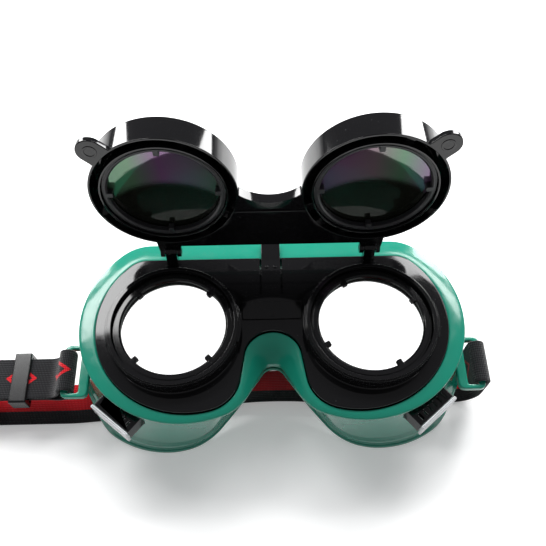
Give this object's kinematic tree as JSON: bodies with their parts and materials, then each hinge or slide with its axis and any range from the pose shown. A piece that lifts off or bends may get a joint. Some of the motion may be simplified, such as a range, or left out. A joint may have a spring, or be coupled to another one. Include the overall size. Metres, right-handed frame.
{
  "type": "flip-up welding goggles",
  "caption": "Flip-up welding goggles: soft green mask, black front plate with clear round lenses, hinged frame with dark filter lenses, screw rings, vents and elastic strap.",
  "frame": {"origin": "on the surface that the goggles lie on, on the middle plane between the lenses, under the lens axes", "axes": "+X to the right across both lenses, +Y towards the brow, +Z the way the lenses look when the goggles lie face up"},
  "size_m": [0.2405, 0.0994, 0.1193],
  "materials": {
    "pvc_green": "soft glossy PVC, slightly translucent",
    "abs_black": "moulded glossy black plastic",
    "clear_lens": "clear cover lens",
    "filter_lens": "dark green filter glass with a faint coating",
    "gasket": "matt rubber",
    "pin_steel": "drawn steel",
    "vent_cover": "glossy pale plastic",
    "elastic": "woven elastic, black outside and red inside"
  },
  "bodies": {
    "mask": {"mask_body": "pvc_green", "front_plate": "abs_black", "clear_lens_left": "clear_lens", "clear_lens_right": "clear_lens", "lens_gasket_left": "gasket", "lens_gasket_right": "gasket", "vent_body_lower_left": "abs_black", "vent_body_lower_right": "abs_black", "vent_body_upper_left": "abs_black", "vent_body_upper_right": "abs_black", "vent_cover_lower_left": "vent_cover", "vent_cover_lower_right": "vent_cover", "vent_cover_upper_left": "vent_cover", "vent_cover_upper_right": "vent_cover", "strap": "elastic"},
    "flip": {"flip_frame": "abs_black", "filter_lens_left": "filter_lens", "filter_lens_right": "filter_lens", "filter_gasket_left": "gasket", "filter_gasket_right": "gasket", "hinge_pin_left": "pin_steel", "hinge_pin_right": "pin_steel"},
    "lens_ring_left": {"lens_ring_left": "abs_black"},
    "lens_ring_right": {"lens_ring_right": "abs_black"},
    "filter_ring_left": {"filter_ring_left": "abs_black"},
    "filter_ring_right": {"filter_ring_right": "abs_black"},
    "slider": {"strap_slider": "abs_black"}
  },
  "joints": [
    {"name": "flip_hinge", "type": "hinge", "parent": "mask", "child": "flip", "pos_m": [0, 0.0372, 0.0518], "axis": [1, 0, 0], "range_deg": [-35, 95]},
    {"name": "lens_ring_turn_left", "type": "hinge", "parent": "mask", "child": "lens_ring_left", "pos_m": [-0.0431, 0, 0.048], "axis": [0, 0, 1], "range_deg": [0, 330]},
    {"name": "lens_ring_turn_right", "type": "hinge", "parent": "mask", "child": "lens_ring_right", "pos_m": [0.0431, 0, 0.048], "axis": [0, 0, 1], "range_deg": [0, 330]},
    {"name": "filter_ring_turn_left", "type": "hinge", "parent": "flip", "child": "filter_ring_left", "pos_m": [-0.0431, 0.03915, 0.08897], "axis": [0, 0.9962, -0.0872], "range_deg": [0, 330]},
    {"name": "filter_ring_turn_right", "type": "hinge", "parent": "flip", "child": "filter_ring_right", "pos_m": [0.0431, 0.03915, 0.08897], "axis": [0, 0.9962, -0.0872], "range_deg": [0, 330]},
    {"name": "slider_slide", "type": "slide", "parent": "mask", "child": "slider", "axis": [1, 0, 0], "range_m": [-0.01, 0.003]}
  ]
}
